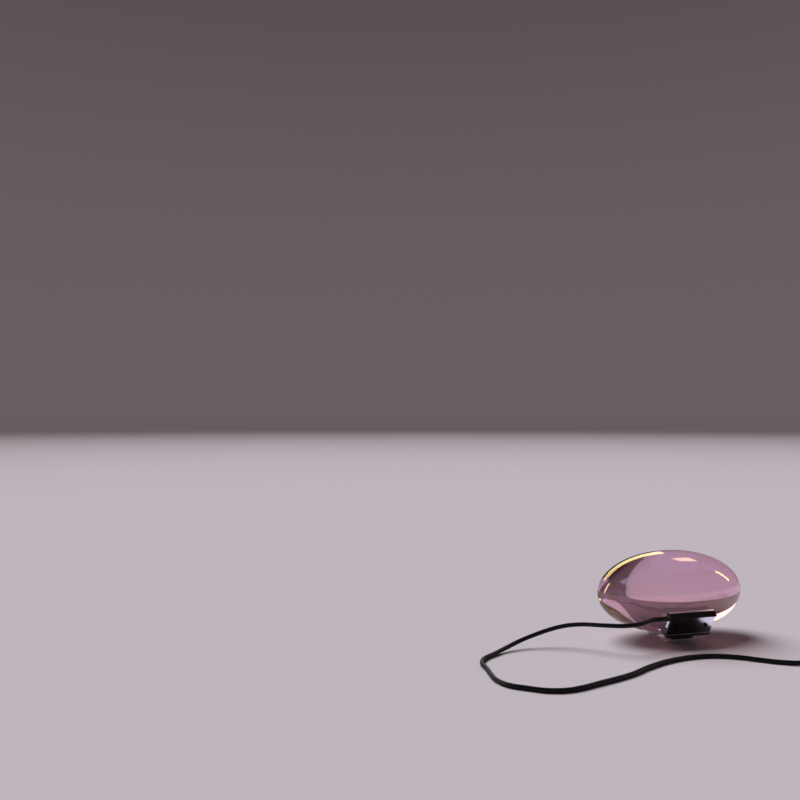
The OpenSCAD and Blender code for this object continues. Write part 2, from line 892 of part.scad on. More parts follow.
// The rocker: two lobes over a keel, on a round axle
module switch_rocker() {
  lobe_rise = 3.5;
  dip_rise = 2.5;
  dip_half = 2;
  keel_drop = 1.4;
  keel_half = 1.6;
  side_rise = 1;
  side_in = 0.4;
  axle_end_gap = 0.1;
  axle_half = window_half_y + cheek_t - axle_end_gap;
  color("DarkGray")
    at_switch()
      translate([0, 0, rocker_z])
        rotate([0, rocker_tilt, 0]) {
          translate([0, rocker_w / 2, 0])
            rotate([90, 0, 0])
              linear_extrude(rocker_w)
                polygon([
                  [-rocker_half, lobe_rise], [side_in - rocker_half, side_rise],
                  [-keel_half, -keel_drop], [keel_half, -keel_drop],
                  [rocker_half - side_in, side_rise], [rocker_half, lobe_rise],
                  [dip_half, dip_rise], [-dip_half, dip_rise]
                ]);
          rotate([90, 0, 0])
            cylinder(h = 2 * axle_half, d = axle_d, center = true, $fn = small_fn);
        }
}

module switch_contacts() {
  blade_w = 3;
  blade_t = 0.5;
  blade_len = 9;
  blade_x = 4.4;
  post_h = 2.6;
  color("Gold")
    at_switch()
      for (side = [0, 1])
        mirror([side, 0, 0])
          translate([blade_x, -blade_w / 2, floor_t]) {
            cube([blade_len, blade_w, blade_t]);
            cube([blade_t, blade_w, post_h]);
          }
}

module switch_screws() {
  color("Silver")
    at_switch()
      at_posts()
        difference() {
          union() {
            translate([0, 0, post_head_t - post_head_h])
              cylinder(h = post_head_h - eps, d = post_head_d, $fn = small_fn);
            translate([0, 0, post_head_t - 2 * eps])
              cylinder(h = switch_split - 2 * post_head_t + post_screw_len, d = post_screw_d, $fn = small_fn);
          }
          translate([0, 0, post_head_t - post_head_h - eps])
            cylinder(h = screw_key_t, d = screw_key_d, $fn = 6);
        }
}

module switch_boots() {
  inner = switch_wall + boot_flange_t + split_gap;
  start = inner + seat_clear;
  outside = ribbed(inner + boot_len - start, boot_base_r, boot_tip_r, boot_rings, boot_groove);
  color("Black")
    at_switch()
      for (side = [0, 1])
        mirror([side, 0, 0])
          translate([switch_len / 2 - inner, 0, switch_split])
            rotate([0, 90, 0])
              rotate_extrude($fn = small_fn)
                polygon(concat(
                  [[0, 0], [boot_flange_r, 0], [boot_flange_r, boot_flange_t],
                    [boot_neck_r, boot_flange_t], [boot_neck_r, start]],
                  [for (p = outside) [p[0], start + p[1]]],
                  [[0, inner + boot_len]]
                ));
}

module plug_relief() {
  color("Black")
    translate([grip_x, plug_y, plug_z])
      rotate([0, -90, 0])
        rotate_extrude($fn = small_fn)
          polygon(concat(
            [[0, 0]],
            ribbed(relief_len, relief_base_r, relief_tip_r, relief_rings, relief_groove),
            [[0, relief_len]]
          ));
}

module plug_grip() {
  first_rib = grip_x + grip_len / 2 - (grip_ribs - 1) * grip_rib_pitch / 2;
  color("Black")
    translate([0, plug_y, plug_z])
      difference() {
        union() {
          translate([grip_x + (grip_len + grip_step_len) / 2, 0, 0])
            along_x(grip_len - grip_step_len)
              round_rect(grip_w, grip_h, grip_r);
          translate([grip_x + grip_step_len / 2 + eps, 0, 0])
            along_x(grip_step_len + 2 * eps)
              round_rect(grip_w - 2 * grip_step_in, grip_h - 2 * grip_step_in, grip_r - grip_step_in);
        }
        for (i = [0:grip_ribs - 1])
          for (y = [-1, 1])
            translate([first_rib + i * grip_rib_pitch, y * grip_w / 2, 0])
              cylinder(h = grip_h, r = grip_rib_r, center = true, $fn = small_fn);
      }
}

module plug_shell() {
  color("Silver")
    translate([shell_x, plug_y, plug_z])
      difference() {
        translate([seat_clear + shell_len / 2, 0, 0])
          along_x(shell_len)
            difference() {
              round_rect(shell_w, shell_h, shell_r);
              round_rect(shell_w - 2 * shell_wall, shell_h - 2 * shell_wall, shell_r - shell_wall);
            }
        for (y = [-1, 1])
          translate([shell_hole_x, y * shell_hole_y - shell_hole / 2, -shell_h])
            cube([shell_hole, shell_hole, 2 * shell_h]);
      }
}

module plug_tongue() {
  top = shell_h / 2 - shell_wall - seat_clear;
  root_h = shell_h - 2 * shell_wall - 2 * seat_clear;
  color("White")
    translate([shell_x + seat_clear, plug_y, plug_z]) {
      translate([0, -tongue_w / 2, top - tongue_t])
        cube([tongue_len, tongue_w, tongue_t]);
      translate([0, -tongue_w / 2, top - root_h])
        cube([tongue_root, tongue_w, root_h]);
    }
}

module plug_contacts() {
  under = shell_h / 2 - shell_wall - seat_clear - tongue_t;
  color("Gold")
    translate([shell_x + tongue_root + contact_start, plug_y, plug_z])
      for (i = [-1.5:1:1.5])
        translate([0, i * contact_pitch - contact_w / 2, under - contact_t])
          cube([abs(i) > 1 ? contact_outer : contact_inner, contact_w, contact_t]);
}

glass_egg();
light_bar();
foot_plate();
grip_sheet();
cradle_strips();
foot_screws();
led_board();
led_chips();
board_resistors();
window_frame();
colour_window();
frame_screws();
cord_gland();
lead_wires();
cord_lead();
cord_coil();
coil_tie();
switch_lower();
switch_upper();
switch_rocker();
switch_contacts();
switch_screws();
switch_boots();
plug_relief();
plug_grip();
plug_shell();
plug_tongue();
plug_contacts();
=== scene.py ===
"""Looks of a table lamp: a solid glass ellipsoid, a leaning light bar on a clear foot, and a thin lead."""

import json
import logging
import math
from dataclasses import dataclass
from enum import Enum
from typing import Iterable, Optional, Sequence, Union

import bmesh
import bpy
from mathutils import Matrix, Vector


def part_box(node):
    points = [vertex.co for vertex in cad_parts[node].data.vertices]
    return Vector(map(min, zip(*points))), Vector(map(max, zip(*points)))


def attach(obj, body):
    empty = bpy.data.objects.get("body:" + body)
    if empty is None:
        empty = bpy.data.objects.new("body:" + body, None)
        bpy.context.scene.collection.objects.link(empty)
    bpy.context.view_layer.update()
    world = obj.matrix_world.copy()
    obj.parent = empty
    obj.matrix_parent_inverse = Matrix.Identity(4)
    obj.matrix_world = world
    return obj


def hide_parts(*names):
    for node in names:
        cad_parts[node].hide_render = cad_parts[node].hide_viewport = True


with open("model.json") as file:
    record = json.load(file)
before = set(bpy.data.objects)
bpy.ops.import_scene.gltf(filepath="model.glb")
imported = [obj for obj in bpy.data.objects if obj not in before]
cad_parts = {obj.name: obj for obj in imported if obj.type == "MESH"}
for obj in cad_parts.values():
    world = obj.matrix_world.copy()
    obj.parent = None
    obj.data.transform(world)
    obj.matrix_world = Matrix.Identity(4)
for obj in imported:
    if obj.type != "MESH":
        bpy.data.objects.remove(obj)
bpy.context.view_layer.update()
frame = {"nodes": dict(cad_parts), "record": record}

LOG = logging.getLogger("table_lamp")
# A millimetre in metres, and a whole turn in degrees
MM = 0.001
TURN = 360
# The bar's lean from upright, in degrees
BAR_LEAN = 28.5
# Pieces that some lights choose by name
GLASS_NAME = "glass_ellipsoid"
BAR_NAME = "bar_profile"
# Marks on faces, which the finishes read
EDGE_MARK = "softened_edge"
# Faces of the bar that take a painted highlight
PAINTED_HIGHLIGHT_MARK = "bright_cut"

Colour = tuple[float, float, float]
Point = tuple[float, float, float]
Span = tuple[float, float]
Stops = tuple[tuple[float, Colour], ...]


class Body(Enum):
    """The bodies of the lamp that move on their own."""

    LAMP = "lamp"
    GLASS = "glass"
    ROCKER = "rocker"


class Wire:
    """One output socket of a node. Arithmetic on it adds Math nodes."""

    def __init__(self, tree: "Tree", socket: bpy.types.NodeSocket) -> None:
        """Keeps the socket and the tree that it belongs to."""
        self.tree = tree
        self.socket = socket

    def _math(self, operation: str, first: "Value", second: "Value") -> "Wire":
        """Adds one Math node."""
        return self.tree.node("ShaderNodeMath", {"operation": operation}, {0: first, 1: second})

    def __add__(self, other: "Value") -> "Wire":
        """Sum."""
        return self._math("ADD", self, other)

    __radd__ = __add__

    def __sub__(self, other: "Value") -> "Wire":
        """Difference."""
        return self._math("SUBTRACT", self, other)

    def __rsub__(self, other: "Value") -> "Wire":
        """Difference from a number."""
        return self._math("SUBTRACT", other, self)

    def __mul__(self, other: "Value") -> "Wire":
        """Product."""
        return self._math("MULTIPLY", self, other)

    __rmul__ = __mul__

    def __gt__(self, other: "Value") -> "Wire":
        """One where this value is the greater, else zero."""
        return self._math("GREATER_THAN", self, other)

    def __lt__(self, other: "Value") -> "Wire":
        """One where this value is the less, else zero, as a number on the left of > asks."""
        return self._math("LESS_THAN", self, other)


Value = Union[Wire, float, int]
Input = Union[Wire, float, int, Sequence[float]]


@dataclass(frozen=True)
class Cloud:
    """A cloudy pattern: its patches to the metre, its levels of detail and their roughness."""

    scale: float
    detail: float = 3.0
    rough: float = 0.5


class Tree:
    """The node tree of one material, or of the world."""

    def __init__(self, owner: Union[bpy.types.Material, bpy.types.World]) -> None:
        """Empties the owner's tree.

        Args:
            owner: The material or world whose nodes are laid.
        """
        owner.use_nodes = True
        self.nodes = owner.node_tree.nodes
        self.links = owner.node_tree.links
        self.nodes.clear()

    def node(
        self,
        kind: str,
        settings: Optional[dict] = None,
        inputs: Optional[dict[Union[int, str], Input]] = None,
        out: Union[int, str] = 0,
    ) -> Wire:
        """Adds one node of any type.

        Args:
            kind: Blender's name of the node's type.
            settings: The node's own settings, set first; stops are those of a colour ramp.
            inputs: Values or links of its sockets, by name or number.
            out: The output socket to hand back.

        Returns:
            That output, wrapped, or the first input of a node that has no output.
        """
        made = self.nodes.new(kind)
        for key, value in (settings or {}).items():
            if key == "stops":
                self._set_stops(made.color_ramp, value)
            else:
                setattr(made, key, value)
        for key, value in (inputs or {}).items():
            if isinstance(value, Wire):
                self.links.new(value.socket, made.inputs[key])
            else:
                made.inputs[key].default_value = value
        sockets = made.outputs if len(made.outputs) else made.inputs
        return Wire(self, sockets[out])

    @staticmethod
    def _set_stops(ramp: bpy.types.ColorRamp, stops: Stops) -> None:
        """Sets the stops of a colour ramp.

        Args:
            ramp: The ramp.
            stops: Place and colour of each stop, in order.
        """
        while len(ramp.elements) < len(stops):
            ramp.elements.new(0.5)
        for element, (place, colour) in zip(ramp.elements, stops):
            element.position = place
            element.color = (*colour, 1.0)

    def place(self) -> Wire:
        """The point of the surface, in metres, in the object's own frame."""
        return self.node("ShaderNodeTexCoord", out="Object")

    def turned(self, place: Wire, angle: float = 0.0, scale: Point = (1.0, 1.0, 1.0)) -> Wire:
        """Turns a point about X and stretches it.

        Args:
            place: The point.
            angle: The turn, in degrees.
            scale: The stretch along each axis, after the turn.

        Returns:
            The new point.
        """
        spun = self.node(
            "ShaderNodeVectorRotate",
            {"rotation_type": "X_AXIS"},
            {"Vector": place, "Angle": math.radians(angle)},
        )
        return self.node("ShaderNodeVectorMath", {"operation": "MULTIPLY"}, {0: spun, 1: scale})

    def axis(self, place: Wire, name: str) -> Wire:
        """One coordinate of a point, named X, Y or Z."""
        return self.node("ShaderNodeSeparateXYZ", inputs={0: place}, out=name)

    def noise(self, place: Wire, cloud: Cloud) -> Wire:
        """A cloudy value from 0 to 1."""
        return self.node(
            "ShaderNodeTexNoise",
            inputs={"Vector": place, "Scale": cloud.scale, "Detail": cloud.detail, "Roughness": cloud.rough},
        )

    def span(self, value: Wire, edge: Span) -> Wire:
        """Rises smoothly from 0 to 1 as a value goes from one end of a range to the other."""
        return self.node(
            "ShaderNodeMapRange",
            {"interpolation_type": "SMOOTHSTEP"},
            {"Value": value, "From Min": edge[0], "From Max": edge[1]},
        )

    def ramp(self, value: Wire, stops: Stops) -> Wire:
        """A colour from a value from 0 to 1."""
        return self.node("ShaderNodeValToRGB", {"stops": stops}, {0: value})

    def mix(self, factor: Value, first: Union[Wire, Colour], second: Union[Wire, Colour]) -> Wire:
        """A colour between two colours.

        Args:
            factor: 0 for the first, 1 for the second.
            first: A colour or a link.
            second: A colour or a link.

        Returns:
            The mixed colour.
        """
        ends = [c if isinstance(c, Wire) else (*c, 1.0) for c in (first, second)]
        return self.node(
            "ShaderNodeMix", {"data_type": "RGBA"}, {0: factor, 6: ends[0], 7: ends[1]}, out=2
        )

    def bump(self, height: Wire, depth: float, strength: float = 1.0) -> Wire:
        """A normal from a height, of a depth in metres."""
        return self.node(
            "ShaderNodeBump", inputs={"Height": height, "Distance": depth, "Strength": strength}
        )

    def mark(self, name: str) -> Wire:
        """One on the marked faces of a piece, else zero."""
        return self.node("ShaderNodeAttribute", {"attribute_name": name}, out="Fac")

    def surface(self, inputs: dict[str, Input]) -> None:
        """Ends a material in one Principled shader.

        Args:
            inputs: The shader's sockets, with a plain colour as a tuple.
        """
        named = {key: (*v, 1.0) if isinstance(v, tuple) else v for key, v in inputs.items()}
        shader = self.node("ShaderNodeBsdfPrincipled", inputs=named)
        self.node("ShaderNodeOutputMaterial", inputs={"Surface": shader})


@dataclass(frozen=True)
class Finish:
    """What one kind of surface looks like. Each finish lays its own nodes.

    In every finish, a share says how much of a second colour a pattern adds, dull is the roughness that it
    adds, gloss is the roughness of the clean surface, and the depths of bumps are in metres.
    """

    name: str

    def lay(self, tree: Tree) -> None:
        """Lays the nodes of the finish."""
        raise NotImplementedError

    def material(self) -> bpy.types.Material:
        """The finish as a material, made once.

        Returns:
            The material.
        """
        found = bpy.data.materials.get(self.name)
        if found is None:
            found = bpy.data.materials.new(self.name)
            self.lay(Tree(found))
        return found


@dataclass(frozen=True)
class PolishedGlass(Finish):
    """Solid polished glass with a thin coating, in nanometres, faint marks of handling, and a pink tint that
    is partly painted coloured light.
    """

    # Pink tint: partly the glass's own tint, partly painted coloured light from the lamp
    colour: Colour = (0.92, 0.58, 0.74)
    bloom: Colour = (0.93, 0.91, 0.93)
    bloom_share: float = 0.04
    ior: float = 1.5
    gloss: float = 0.003
    smudge_dull: float = 0.03
    patches: Cloud = Cloud(45.0, 6.0, 0.62)
    patch_edge: Span = (0.54, 0.72)
    wipes: Cloud = Cloud(90.0, 2.0)
    wipe_edge: Span = (0.5, 0.7)
    wipe_turn: float = 35.0
    wipe_stretch: Point = (1.0, 6.0, 14.0)
    film: float = 281.0
    film_ior: float = 1.78

    def lay(self, tree: Tree) -> None:
        """Lays clear transmission with smudges that dull the polish.

        Args:
            tree: The material's tree.
        """
        place = tree.place()
        cloud = tree.span(tree.noise(place, self.patches), self.patch_edge)
        lines = tree.noise(tree.turned(place, self.wipe_turn, self.wipe_stretch), self.wipes)
        marks = cloud * tree.span(lines, self.wipe_edge)
        tree.surface({
            "Base Color": tree.mix(cloud * self.bloom_share, self.colour, self.bloom),
            "Roughness": marks * self.smudge_dull + self.gloss,
            "IOR": self.ior,
            "Transmission Weight": 1.0,
            "Thin Film Thickness": self.film,
            "Thin Film IOR": self.film_ior,
        })


@dataclass(frozen=True)
class Sheet(Finish):
    """Thin clear plastic, which shows as a faint layer with a polished skin."""

    colour: Colour = (0.86, 0.84, 0.87)
    cover: float = 0.3
    gloss: float = 0.08
    skin_depth: float = 2e-6
    haze: Colour = (0.95, 0.95, 0.97)
    haze_share: float = 0.3
    haze_patches: Cloud = Cloud(260.0, 5.0, 0.6)
    rubs: Cloud = Cloud(120.0, 6.0, 0.65)
    rub_edge: Span = (0.5, 0.75)
    rub_dull: float = 0.2
    rub_cover: float = 0.06
    edge_cover: float = 0.2

    def lay(self, tree: Tree) -> None:
        """Lays a see-through layer, thicker to the eye on its rounded edges and where it is rubbed.

        Args:
            tree: The material's tree.
        """
        place = tree.place()
        cloud = tree.noise(place, self.haze_patches)
        rubbed = tree.span(tree.noise(place, self.rubs), self.rub_edge)
        tree.surface({
            "Base Color": tree.mix(cloud * self.haze_share, self.colour, self.haze),
            "Roughness": rubbed * self.rub_dull + self.gloss,
            "Alpha": tree.mark(EDGE_MARK) * self.edge_cover + rubbed * self.rub_cover + self.cover,
            "Normal": tree.bump(cloud, self.skin_depth),
        })


@dataclass(frozen=True)
class Anodised(Finish):
    """Satin black anodised metal, drawn along its length, rubbed a little on its edges, with a pale pink
    painted highlight on the faces that look up its slope.
    """

    colour: Colour = (0.004, 0.004, 0.005)
    fade: float = 1.6
    worn: Colour = (0.16, 0.15, 0.155)
    worn_share: float = 0.7
    # Painted highlight: pale pink, part metallic and duller, on the faces that look up the bar's slope
    painted_highlight_colour: Colour = (0.86, 0.7, 0.74)
    painted_highlight_metal: float = 0.45
    ior: float = 1.5
    gloss: float = 0.1
    grain: Cloud = Cloud(9000.0, 2.0)
    grain_stretch: Point = (0.03, 1.0, 1.0)
    grain_depth: float = 1e-6
    grain_strength: float = 0.4
    dye: Cloud = Cloud(160.0, 4.0)
    rubs: Cloud = Cloud(700.0, 4.0)
    rub_edge: Span = (0.42, 0.62)
    grain_dull: float = 0.12
    dye_dull: float = 0.08
    painted_highlight_dull: float = 0.12

    def lay(self, tree: Tree) -> None:
        """Lays the drawn grain, the cloudy dye, the rubbed edges and the painted highlight.

        Args:
            tree: The material's tree.
        """
        place = tree.place()
        grain = tree.noise(tree.turned(place, -BAR_LEAN, self.grain_stretch), self.grain)
        cloud = tree.noise(place, self.dye)
        rub = tree.mark(EDGE_MARK) * tree.span(tree.noise(place, self.rubs), self.rub_edge)
        # The faces that take the painted highlight
        painted_highlight = tree.mark(PAINTED_HIGHLIGHT_MARK)
        dyed = tree.mix(cloud, self.colour, tuple(self.fade * c for c in self.colour))
        rubbed = tree.mix(rub * self.worn_share, dyed, self.worn)
        tree.surface({
            "Base Color": tree.mix(painted_highlight, rubbed, self.painted_highlight_colour),
            "Metallic": painted_highlight * self.painted_highlight_metal,
            "Roughness": grain * self.grain_dull + cloud * self.dye_dull + painted_highlight * self.painted_highlight_dull + self.gloss,
            "IOR": self.ior,
            "Normal": tree.bump(grain, self.grain_depth, self.grain_strength),
        })


@dataclass(frozen=True)
class Metal(Finish):
    """Bare or plated metal with fine scratches."""

    colour: Colour = (0.62, 0.62, 0.64)
    stain: Colour = (0.5, 0.49, 0.48)
    gloss: float = 0.12
    scratch_stretch: Point = (1.0, 12.0, 1.0)
    scratches: Cloud = Cloud(2400.0)
    scratch_dull: float = 0.16
    scratch_depth: float = 3e-6
    scratch_strength: float = 0.6
    stains: Cloud = Cloud(420.0, 5.0)
    stain_edge: Span = (0.45, 0.75)
    stain_dull: float = 0.08

    def lay(self, tree: Tree) -> None:
        """Lays scratches along one way, and a faint stain.

        Args:
            tree: The material's tree.
        """
        place = tree.place()
        lines = tree.noise(tree.turned(place, 0.0, self.scratch_stretch), self.scratches)
        cloud = tree.noise(place, self.stains)
        tree.surface({
            "Base Color": tree.mix(tree.span(cloud, self.stain_edge), self.colour, self.stain),
            "Roughness": lines * self.scratch_dull + cloud * self.stain_dull + self.gloss,
            "Metallic": 1.0,
            "Normal": tree.bump(lines, self.scratch_depth, self.scratch_strength),
        })


@dataclass(frozen=True)
class Moulded(Finish):
    """Moulded plastic or rubber with a fine spark-eroded grain."""

    colour: Colour = (0.02, 0.02, 0.021)
    light: Colour = (0.034, 0.034, 0.036)
    gloss: float = 0.33
    grain: Cloud = Cloud(3200.0, rough=0.6)
    grain_depth: float = 1.6e-5
    coat: float = 0.0
    coat_dull: float = 0.12
    shine: float = 0.3
    tone: Cloud = Cloud(180.0, 4.0)
    tone_share: float = 0.7
    dust: Cloud = Cloud(900.0, 6.0, 0.7)
    dust_edge: Span = (0.62, 0.78)
    dust_share: float = 0.3
    rub_gain: float = 1.8
    rub_lift: float = 0.01
    rub_share: float = 0.5
    grain_dull: float = 0.14
    tone_dull: float = 0.1

    def lay(self, tree: Tree) -> None:
        """Lays the grain, a cloudy tone and paler rubbed edges.

        Args:
            tree: The material's tree.
        """
        place = tree.place()
        fine = tree.noise(place, self.grain)
        cloud = tree.noise(place, self.tone)
        dust = tree.span(tree.noise(place, self.dust), self.dust_edge)
        toned = tree.mix(cloud * self.tone_share + dust * self.dust_share, self.colour, self.light)
        rubbed = tuple(min(1.0, self.rub_gain * c + self.rub_lift) for c in self.light)
        tree.surface({
            "Base Color": tree.mix(tree.mark(EDGE_MARK) * self.rub_share, toned, rubbed),
            "Roughness": fine * self.grain_dull + cloud * self.tone_dull + self.gloss,
            "Specular IOR Level": self.shine,
            "Coat Weight": self.coat,
            "Coat Roughness": self.coat_dull,
            "Normal": tree.bump(fine, self.grain_depth),
        })


@dataclass(frozen=True)
class Sheath(Finish):
    """The lead's soft black sheath, drawn along its length."""

    colour: Colour = (0.004, 0.004, 0.005)
    light: Colour = (0.012, 0.012, 0.014)
    gloss: float = 0.32
    shine: float = 0.2
    waves: Cloud = Cloud(140.0, 2.0)
    wave_share: float = 0.4
    wave_dull: float = 0.12
    wave_depth: float = 4e-5
    skin: Cloud = Cloud(2400.0, rough=0.6)
    skin_height: float = 0.25
    skin_dull: float = 0.1
    dust: Cloud = Cloud(1500.0, 6.0, 0.75)
    dust_edge: Span = (0.6, 0.74)
    dust_share: float = 0.35
    dust_dull: float = 0.15

    def lay(self, tree: Tree) -> None:
        """Lays slow waves from winding, a fine skin and a little dust.

        Args:
            tree: The material's tree.
        """
        place = tree.place()
        waves = tree.noise(place, self.waves)
        skin = tree.noise(place, self.skin)
        dust = tree.span(tree.noise(place, self.dust), self.dust_edge)
        dulled = skin * self.skin_dull + waves * self.wave_dull + dust * self.dust_dull
        tree.surface({
            "Base Color": tree.mix(dust * self.dust_share + waves * self.wave_share, self.colour, self.light),
            "Roughness": dulled + self.gloss,
            "Specular IOR Level": self.shine,
            "Normal": tree.bump(skin * self.skin_height + waves, self.wave_depth),
        })


@dataclass(frozen=True)
class Strap(Finish):
    """The woven strap of the tie."""

    colour: Colour = (0.02, 0.02, 0.022)
    light: Colour = (0.07, 0.07, 0.075)
    thread_scale: float = 433.3333
    waver: float = 0.4
    cross_turn: float = 90.0
    cross_stretch: Point = (0.0, 1.0, 1.0)
    weave_share: float = 0.7
    weave_gloss: float = 0.2
    weave_depth: float = 1.2e-4
    fuzz: Cloud = Cloud(4000.0, 4.0)
    fuzz_share: float = 0.2
    fuzz_height: float = 0.4
    dull: float = 0.95
    sheen: float = 0.3

    def threads(self, tree: Tree, place: Wire, way: str) -> Wire:
        """Threads side by side.

        Args:
            tree: The material's tree.
            place: The point of the surface.
            way: Blender's name of the way across the threads.

        Returns:
            One on the threads and zero between them.
        """
        return tree.node(
            "ShaderNodeTexWave",
            {"wave_type": "BANDS", "wave_profile": "SIN", "bands_direction": way},
            {"Vector": place, "Scale": self.thread_scale, "Distortion": self.waver},
            out="Fac",
        )

    def lay(self, tree: Tree) -> None:
        """Lays crossed threads, and fuzz over them.

        Args:
            tree: The material's tree.
        """
        place = tree.place()
        crossed = tree.turned(place, self.cross_turn, self.cross_stretch)
        weave = self.threads(tree, place, "X") * self.threads(tree, crossed, "DIAGONAL")
        fuzz = tree.noise(place, self.fuzz)
        shown = weave * self.weave_share + fuzz * self.fuzz_share
        tree.surface({
            "Base Color": tree.mix(shown, self.colour, self.light),
            "Roughness": self.dull - weave * self.weave_gloss,
            "Sheen Weight": self.sheen,
            "Normal": tree.bump(weave + fuzz * self.fuzz_height, self.weave_depth),
        })


@dataclass(frozen=True)
class Board(Finish):
    """White solder mask with faint tracks under it."""

    colour: Colour = (0.86, 0.86, 0.83)
    track: Colour = (0.78, 0.79, 0.74)
    track_scale: float = 260.0
    track_wide: float = 0.09
    track_soft: float = 0.2
    track_offset: float = 0.35
    track_turn: float = 90.0
    track_share: float = 0.8
    track_depth: float = 3e-5
    tone: Cloud = Cloud(500.0, 4.0)
    tone_share: float = 0.15
    tone_dull: float = 0.1
    gloss: float = 0.28

    def lay(self, tree: Tree) -> None:
        """Lays straight tracks as a change of tone and a small rise.

        Args:
            tree: The material's tree.
        """
        flat = tree.turned(tree.place(), -BAR_LEAN)
        tracks = tree.node(
            "ShaderNodeTexBrick",
            {"offset": self.track_offset},
            {
                "Vector": tree.turned(flat, self.track_turn),
                "Scale": self.track_scale,
                "Mortar Size": self.track_wide,
                "Mortar Smooth": self.track_soft,
            },
            out="Fac",
        )
        cloud = tree.noise(flat, self.tone)
        shown = tracks * self.track_share + cloud * self.tone_share
        tree.surface({
            "Base Color": tree.mix(shown, self.colour, self.track),
            "Roughness": cloud * self.tone_dull + self.gloss,
            "Normal": tree.bump(tracks, self.track_depth),
        })


@dataclass(frozen=True)
class Glow(Finish):
    """A lit, coloured surface whose colour changes along the bar, between two places in metres."""

    stops: Stops
    ends: Span = (-0.0135, 0.0065)
    strength: float = 1.0
    base: Colour = (0.3, 0.26, 0.3)
    gloss: float = 0.15
    shine: float = 0.25
    pale: Colour = (1.0, 0.95, 0.9)
    pale_share: float = 0.12
    tone: Cloud = Cloud(260.0)
    tone_dull: float = 0.1

    def lay(self, tree: Tree) -> None:
        """Lays the colours along X, with a faint unevenness.

        Args:
            tree: The material's tree.
        """
        place = tree.place()
        colour = tree.ramp(tree.span(tree.axis(place, "X"), self.ends), self.stops)
        cloud = tree.noise(place, self.tone)
        tree.surface({
            "Base Color": self.base,
            "Roughness": cloud * self.tone_dull + self.gloss,
            "Specular IOR Level": self.shine,
            "Emission Color": tree.mix(cloud * self.pale_share, colour, self.pale),
            "Emission Strength": self.strength,
        })


@dataclass(frozen=True)
class TwoWires(Finish):
    """Two insulated wires, one red and one black, on either side of a place along the bar in metres."""

    red: Colour = (0.42, 0.03, 0.025)
    black: Colour = (0.02, 0.02, 0.022)
    middle: float = -0.0121
    dust: Colour = (0.3, 0.28, 0.28)
    dust_share: float = 0.1
    tone: Cloud = Cloud(900.0)
    tone_dull: float = 0.15
    gloss: float = 0.25

    def lay(self, tree: Tree) -> None:
        """Lays one colour on each side of the middle between the wires.

        Args:
            tree: The material's tree.
        """
        place = tree.place()
        cloud = tree.noise(place, self.tone)
        pair = tree.mix(tree.axis(place, "X") > self.middle, self.red, self.black)
        tree.surface({
            "Base Color": tree.mix(cloud * self.dust_share, pair, self.dust),
            "Roughness": cloud * self.tone_dull + self.gloss,
        })


@dataclass(frozen=True)
class Tabletop(Finish):
    """The plain pale floor, which takes the backdrop's tone over a range of metres from the lamp."""

    colour: Colour = (0.585, 0.53, 0.58)
    far: Colour = (0.15, 0.122, 0.128)
    far_edge: Span = (1.0, 9.0)
    tone: Cloud = Cloud(6.0, 4.0)
    tone_dull: float = 0.06
    gloss: float = 0.6

    def lay(self, tree: Tree) -> None:
        """Lays one pale tone near the lamp and the backdrop's tone far from it.

        Args:
            tree: The material's tree.
        """
        place = tree.place()
        away = tree.node("ShaderNodeVectorMath", {"operation": "LENGTH"}, {0: place}, out="Value")
        tree.surface({
            "Base Color": tree.mix(tree.span(away, self.far_edge), self.colour, self.far),
            "Roughness": tree.noise(place, self.tone) * self.tone_dull + self.gloss,
            "Specular IOR Level": 0.0,
        })


class Paint:
    """The finishes of the lamp."""

    GLASS = PolishedGlass("polished_glass")
    ACRYLIC = Sheet("polished_acrylic")
    SILICONE = Sheet("milky_silicone", (0.8, 0.79, 0.81), cover=0.45, gloss=0.35, skin_depth=2e-5)
    BAR = Anodised("satin_black_anodised")
    STEEL = Metal("bright_screw_steel")
    BLACK_SCREW = Metal("black_oxide_screw", (0.05, 0.05, 0.056), (0.03, 0.03, 0.032), gloss=0.22)
    BRASS = Metal("plated_brass", (0.83, 0.62, 0.27), (0.62, 0.42, 0.18), gloss=0.14)
    PLATED = Metal(
        "bright_plated_shell", (0.78, 0.78, 0.8), (0.66, 0.66, 0.67), gloss=0.08,
        scratch_stretch=(0.1, 1.0, 1.0),
    )
    BOARD = Board("white_solder_mask")
    CHIP = Glow(
        "lit_phosphor",
        ((0.0, (1.0, 0.86, 0.5)), (1.0, (1.0, 0.93, 0.75))),
        strength=5.0, base=(0.95, 0.8, 0.3),
    )
    WINDOW = Glow(
        "coloured_window",
        ((0.0, (1.0, 0.6, 0.08)), (0.28, (1.0, 0.5, 0.3)), (0.6, (1.0, 0.45, 0.75)), (1.0, (0.7, 0.75, 1.0))),
        gloss=0.3,
    )
    GUIDE = Glow(
        "milky_light_guide",
        ((0.0, (0.55, 0.62, 1.0)), (0.4, (1.0, 0.7, 0.55)), (1.0, (0.8, 0.75, 1.0))),
        ends=(-0.021, 0.014), strength=0.6, base=(0.4, 0.4, 0.44), gloss=0.5,
    )
    RESISTOR = Moulded("moulded_component", (0.025, 0.025, 0.027), gloss=0.23)
    PLASTIC = Moulded("grained_black_plastic")
    RUBBER = Moulded(
        "grained_black_rubber", (0.016, 0.016, 0.017), (0.028, 0.028, 0.03), gloss=0.43,
        grain=Cloud(2600.0, rough=0.6), grain_depth=2.2e-5,
    )
    ROCKER = Moulded(
        "gloss_rocker", (0.035, 0.035, 0.038), (0.05, 0.05, 0.054), gloss=0.24,
        grain=Cloud(2000.0, rough=0.6), grain_depth=4e-6, coat=0.12,
    )
    TONGUE = Moulded(
        "white_tongue", (0.86, 0.86, 0.85), (0.9, 0.9, 0.9), gloss=0.2,
        grain=Cloud(1800.0, rough=0.6), grain_depth=6e-6,
    )
    WIRES = TwoWires("two_wires")
    SHEATH = Sheath("black_sheath")
    STRAP = Strap("woven_strap")


